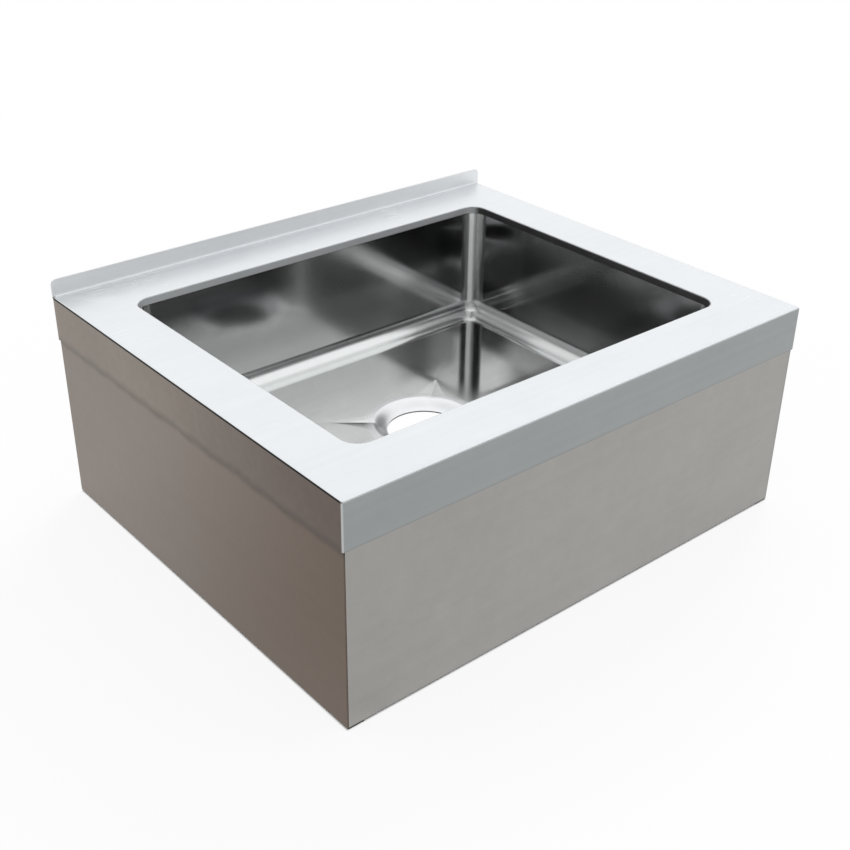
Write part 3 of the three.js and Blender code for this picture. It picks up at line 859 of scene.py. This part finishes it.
CAMERA_AT = (-0.8383, -0.9892, 0.8311)
CAMERA_TURN = (60.47, -0.675, -39.914)  # degrees
CAMERA_LENS = 53.81  # mm
CAMERA_SENSOR = 36.0  # mm across
FLOOR_SIZE = 9.0
FLOOR_Z = -0.2 * MM  # clear of the sink's foot
FLOOR_COLOUR = (0.95, 0.95, 0.95)
FLOOR_GLOW = 0.88  # share of the floor that shows plain white, so that its shadow is faint
WORLD_LIGHT = 0.85
KEY_FROM = (0.75, 0.45, 0.60)
KEY_STRENGTH = 1.1
KEY_ANGLE = 24  # degrees across, so that shadows are soft

# Upright cards, each from (x, y) to (x, y), then its bottom and top, and its shade
DARK_CARDS = {
    "card_front_middle": ((-1.0, -2.0), (0.6, -2.0), (0.7, 1.80), 0.02),
    "card_front_high": ((-3.4, -2.0), (0.3, -2.0), (2.20, 3.60), 0.01),
    "card_left": ((-2.2, -1.6), (-2.2, 1.2), (0.0, 3.50), 0.01),
}
# The same, but with its shades below and above, and the heights between which it pales
PALING_CARDS = {
    "card_far_left": ((-3.6, -2.0), (-2.2, -2.0), (0.0, 1.92), (0.01, 0.95), (1.86, 1.92)),
    "card_front_left": ((-2.2, -2.0), (-1.76, -2.0), (0.0, 1.72), (0.01, 0.95), (1.66, 1.72)),
    "card_front_inner": ((-1.76, -2.0), (-1.0, -2.0), (0.0, 1.72), (0.02, 0.55), (1.10, 1.60)),
    "card_front_right": ((0.6, -2.0), (2.6, -2.0), (0.7, 1.70), (0.02, 0.57), (1.18, 1.36)),
    "card_back_left": ((-2.2, 1.2), (-2.2, 4.2), (0.0, 2.20), (0.01, 0.95), (1.80, 2.20)),
}
DRAIN_CARD_AT = (0.105, 0.125, 0.1 * MM)
DRAIN_CARD_R = 0.075
DRAIN_CARD_POINTS = 48


def sees_background(tree):
    """1 for the rays that show the background, and 0 for those that light the sink."""
    rays = tree.nodes.new("ShaderNodeLightPath").outputs
    seen = rays["Is Camera Ray"]
    for kind in ("Is Glossy Ray", "Is Transmission Ray"):
        either = tree.nodes.new("ShaderNodeMath")
        either.operation = "MAXIMUM"
        tree.links.new(seen, either.inputs[0])
        tree.links.new(rays[kind], either.inputs[1])
        seen = either.outputs[0]
    return seen


def stage_piece(name, points, shader):
    """One face of the studio, with its material."""
    mesh = bpy.data.meshes.new(name)
    mesh.from_pydata(points, [], [tuple(range(len(points)))])
    mesh.materials.append(shader.material)
    piece = bpy.data.objects.new(name, mesh)
    bpy.context.scene.collection.objects.link(piece)
    return piece


def build_world():
    """A plain soft light from all round, which the background rays see as white."""
    world = bpy.data.worlds.new("studio")
    bpy.context.scene.world = world
    world.use_nodes = True
    tree = world.node_tree
    background = tree.nodes["Background"]
    background.inputs["Color"].default_value = (1, 1, 1, 1)
    strength = tree.nodes.new("ShaderNodeMapRange")
    strength.inputs["To Min"].default_value = WORLD_LIGHT
    tree.links.new(sees_background(tree), strength.inputs["Value"])
    tree.links.new(strength.outputs[0], background.inputs["Strength"])


def build_floor():
    """A pale floor that shows part of its white, whatever light falls on it, but not below the sink."""
    s = Shader("floor")
    lit = s.node("ShaderNodeBsdfDiffuse", {"Color": (*FLOOR_COLOUR, 1.0)})
    glow = s.node("ShaderNodeEmission", {"Strength": 1.0})
    around = s.span(s.outside(HALF_X, HALF_Y), -3 * MM, 0.0)
    share = s.math("MULTIPLY", s.product(around, sees_background(s.tree)), FLOOR_GLOW)
    both = s.node("ShaderNodeMixShader", {0: share, 1: lit.outputs[0], 2: glow.outputs[0]})
    s.tree.links.new(both.outputs[0], s.out.inputs["Surface"])
    half = FLOOR_SIZE / 2
    corners = [(-half, -half), (half, -half), (half, half), (-half, half)]
    stage_piece("floor", [(x, y, FLOOR_Z) for x, y in corners], s)


def build_card(name, start, end, heights, s, shade):
    """A matte upright card that the steel mirrors, but that the camera doesn't see."""
    s.surface(Base_Color=shade, Roughness=0.95, Specular_IOR_Level=0.1)
    (x0, y0), (x1, y1), (bottom, top) = start, end, heights
    card = stage_piece(name, [(x0, y0, bottom), (x1, y1, bottom), (x1, y1, top), (x0, y0, top)], s)
    card.visible_camera = False
    card.visible_diffuse = False
    card.visible_shadow = False


def build_cards():
    """The dark and the paling cards, which give the bowl its dark walls and pale floor."""
    for name, (start, end, heights, dark) in DARK_CARDS.items():
        build_card(name, start, end, heights, Shader(name), (dark, dark, dark, 1.0))
    for name, (start, end, heights, shades, paling) in PALING_CARDS.items():
        s = Shader(name)
        build_card(name, start, end, heights, s, s.span(s.z, *paling, *shades))


def build_drain_card():
    """A white card on the floor where the camera looks through the drain hole."""
    s = Shader("drain_card")
    glow = s.node("ShaderNodeEmission", {"Strength": sees_background(s.tree)})
    s.tree.links.new(glow.outputs[0], s.out.inputs["Surface"])
    x, y, z = DRAIN_CARD_AT
    turns = np.linspace(0, 2 * math.pi, DRAIN_CARD_POINTS, endpoint=False)
    rim = [(x + DRAIN_CARD_R * math.cos(t), y + DRAIN_CARD_R * math.sin(t), z) for t in turns]
    stage_piece("drain_card", rim, s)


def build_key():
    """A soft lamp high behind the right shoulder of the sink; the steel doesn't mirror it."""
    light = bpy.data.lights.new("key", "SUN")
    light.energy = KEY_STRENGTH
    light.angle = math.radians(KEY_ANGLE)
    key = bpy.data.objects.new("key", light)
    key.rotation_euler = Vector(KEY_FROM).to_track_quat("Z", "Y").to_euler()
    key.visible_glossy = False
    bpy.context.scene.collection.objects.link(key)


def build_camera():
    """The camera, at the photograph's viewing angle."""
    data = bpy.data.cameras.new("camera")
    data.sensor_width = CAMERA_SENSOR
    data.lens = CAMERA_LENS
    camera = bpy.data.objects.new("camera", data)
    camera.location = CAMERA_AT
    camera.rotation_euler = [math.radians(angle) for angle in CAMERA_TURN]
    bpy.context.scene.collection.objects.link(camera)
    bpy.context.scene.camera = camera


# ---- The scene -------------------------------------------------------------

build_camera()
build_world()
build_floor()
build_cards()
build_drain_card()
build_key()

build_deck(deck_steel())
build_bowl(bowl_steel())
skirts = {
    "left": skirt_steel("skirt_left_steel", "y", WARM, WARM_FRONT, SOFT_SEAM_SHADOW, 0.0),
    "right": skirt_steel("skirt_right_steel", "y", COOL, COOL, FINE_SEAM_SHADOW, 2.3),
    "front": skirt_steel("skirt_front_steel", "x", COOL, COOL, FINE_SEAM_SHADOW, 4.1),
    "back": skirt_steel("skirt_back_steel", "x", COOL, COOL, NO_SEAM_SHADOW, 6.7),
}
for side, material in skirts.items():
    build_skirt(side, material)

bracket = bracket_steel()
for end in ("front", "back"):
    for side in ("left", "right"):
        build_angle(f"corner_angle_{end}_{side}", bracket)
        build_clip(f"floor_clip_{side}_{end}", bracket)
for side in ("left", "right", "front", "back"):
    build_channel(f"deck_channel_{side}", bracket)
rubber = pad_rubber()
for number in range(1, 5):
    build_pad(f"sound_pad_{number}", rubber)

bpy.context.scene.view_settings.view_transform = "Standard"
